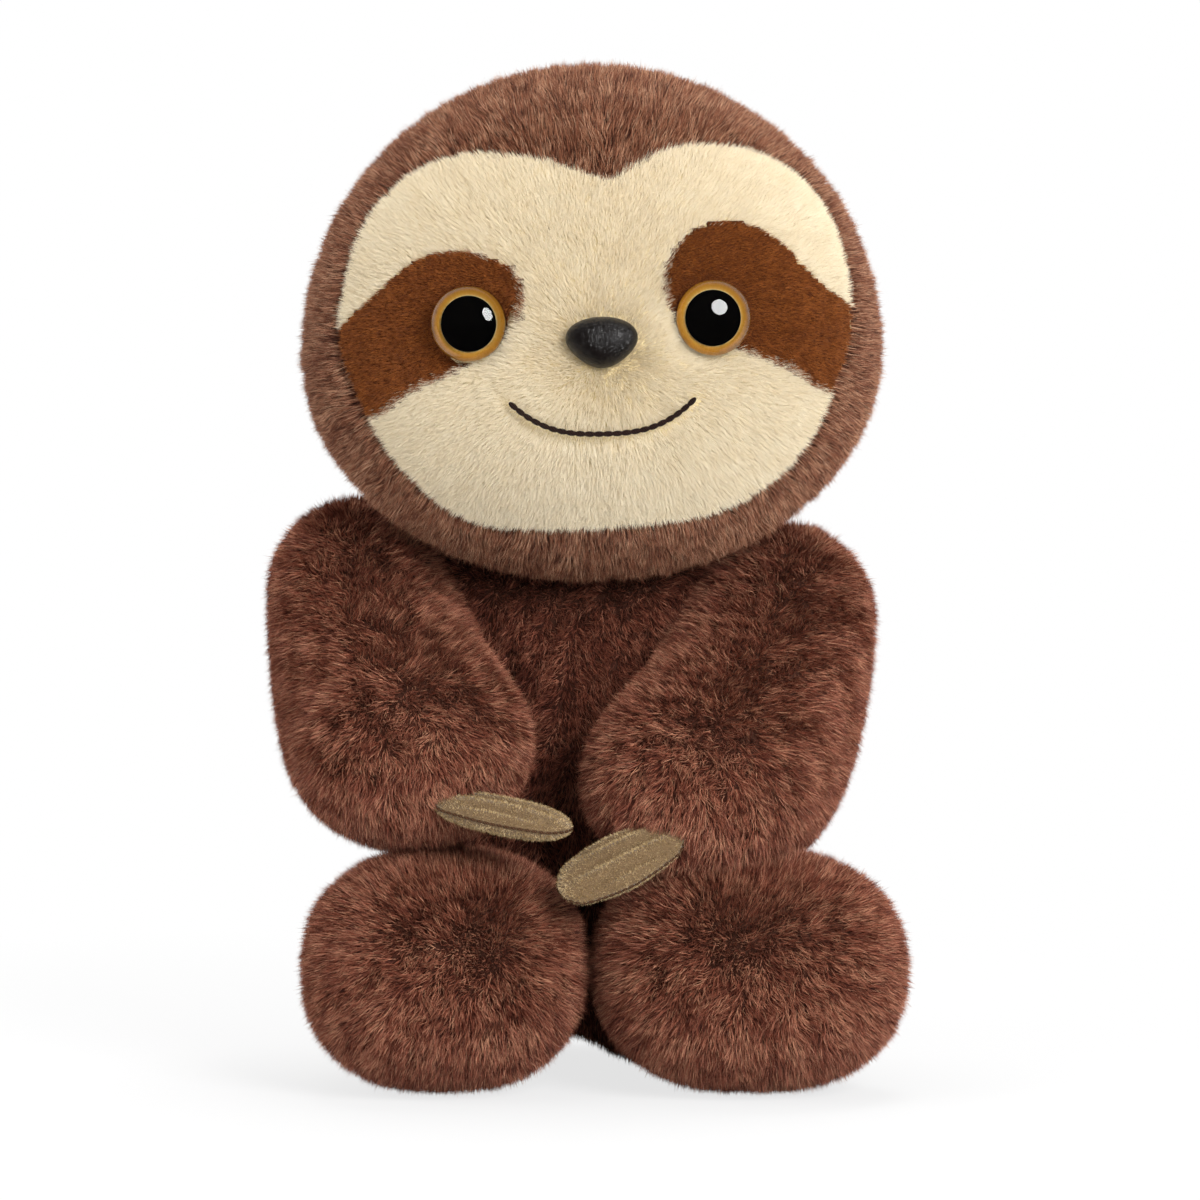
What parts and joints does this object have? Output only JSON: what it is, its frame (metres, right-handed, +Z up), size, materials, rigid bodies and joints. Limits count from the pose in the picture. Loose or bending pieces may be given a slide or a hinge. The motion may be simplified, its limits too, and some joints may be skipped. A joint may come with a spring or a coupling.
{
  "type": "plush sloth",
  "caption": "Seated plush sloth with a big round head, pale face, amber eyes, long arms laid on its feet and sewn claw pads.",
  "frame": {"origin": "on the floor, under the middle of the toy's bounding box", "axes": "+Z up, the toy faces -Y, +X to its own left"},
  "size_m": [0.1784, 0.1516, 0.2795],
  "materials": {
    "body_pile": "brown plush, 7 mm pile, brushed",
    "head_pile": "brown plush, 6 mm pile, brushed",
    "face_pile": "cream plush, 5 mm pile",
    "patch_pile": "rust short-pile plush",
    "iris_plastic": "painted amber, gloss",
    "pupil_plastic": "painted black, gloss",
    "clear_plastic": "clear, polished",
    "washer_plastic": "moulded, matt",
    "nose_plastic": "moulded black, fine leather grain, satin",
    "thread": "twisted polyester embroidery thread",
    "claw_suede": "tan suede-like fabric",
    "filling": "polyester fibre",
    "pellet_pouch": "woven pouch of plastic pellets"
  },
  "bodies": {
    "torso": {"torso_front_panel": "body_pile", "torso_back_panel": "body_pile", "torso_stuffing": "filling", "seat_pellet_pouch": "pellet_pouch"},
    "neck": {"neck_stitching": "thread"},
    "head": {"head_left_panel": "head_pile", "head_right_panel": "head_pile", "face_panel": "face_pile", "eye_patch_left": "patch_pile", "eye_patch_right": "patch_pile", "eye_left_iris_post": "iris_plastic", "eye_left_pupil": "pupil_plastic", "eye_left_clear_dome": "clear_plastic", "eye_left_washer": "washer_plastic", "eye_right_iris_post": "iris_plastic", "eye_right_pupil": "pupil_plastic", "eye_right_clear_dome": "clear_plastic", "eye_right_washer": "washer_plastic", "nose": "nose_plastic", "nose_washer": "washer_plastic", "mouth_stitching": "thread", "head_stuffing": "filling"},
    "arm_left": {"arm_left_outer_panel": "body_pile", "arm_left_inner_panel": "body_pile", "arm_left_stuffing": "filling"},
    "claw_left": {"claw_left_top_panel": "claw_suede", "claw_left_under_panel": "claw_suede"},
    "leg_left": {"leg_left_outer_panel": "body_pile", "leg_left_inner_panel": "body_pile", "leg_left_stuffing": "filling"},
    "arm_right": {"arm_right_outer_panel": "body_pile", "arm_right_inner_panel": "body_pile", "arm_right_stuffing": "filling"},
    "claw_right": {"claw_right_top_panel": "claw_suede", "claw_right_under_panel": "claw_suede"},
    "leg_right": {"leg_right_outer_panel": "body_pile", "leg_right_inner_panel": "body_pile", "leg_right_stuffing": "filling"}
  },
  "joints": [
    {"name": "head_turn", "type": "hinge", "parent": "torso", "child": "neck", "pos_m": [-0.00307, 0.02023, 0.117], "axis": [0, 0, 1], "range_deg": [-15, 15], "stiffness_Nm_per_rad": 0.05},
    {"name": "head_nod", "type": "hinge", "parent": "neck", "child": "head", "pos_m": [-0.00307, 0.02023, 0.117], "axis": [1, 0, 0], "range_deg": [-8, 4], "stiffness_Nm_per_rad": 0.9},
    {"name": "arm_left_lift", "type": "hinge", "parent": "torso", "child": "arm_left", "pos_m": [0.05609, 0.02623, 0.126], "axis": [-0.7071, -0.7071, 0], "range_deg": [0, 38]},
    {"name": "arm_right_lift", "type": "hinge", "parent": "torso", "child": "arm_right", "pos_m": [-0.06223, 0.02623, 0.133], "axis": [-0.7071, 0.7071, 0], "range_deg": [0, 38]},
    {"name": "claw_left_flex", "type": "hinge", "parent": "arm_left", "child": "claw_left", "pos_m": [0.02259, -0.05893, 0.0691], "axis": [0.3934, -0.6776, -0.6214], "range_deg": [-8, 8], "stiffness_Nm_per_rad": 0.01},
    {"name": "claw_right_flex", "type": "hinge", "parent": "arm_right", "child": "claw_right", "pos_m": [-0.03473, -0.05731, 0.0781], "axis": [0.3429, 0.8783, 0.3332], "range_deg": [-8, 8], "stiffness_Nm_per_rad": 0.01},
    {"name": "leg_left_splay", "type": "hinge", "parent": "torso", "child": "leg_left", "pos_m": [0.03093, 0.00023, 0.0295], "axis": [0, 0, 1], "range_deg": [0, 20]},
    {"name": "leg_right_splay", "type": "hinge", "parent": "torso", "child": "leg_right", "pos_m": [-0.03707, 0.00023, 0.0295], "axis": [0, 0, -1], "range_deg": [0, 20]}
  ]
}
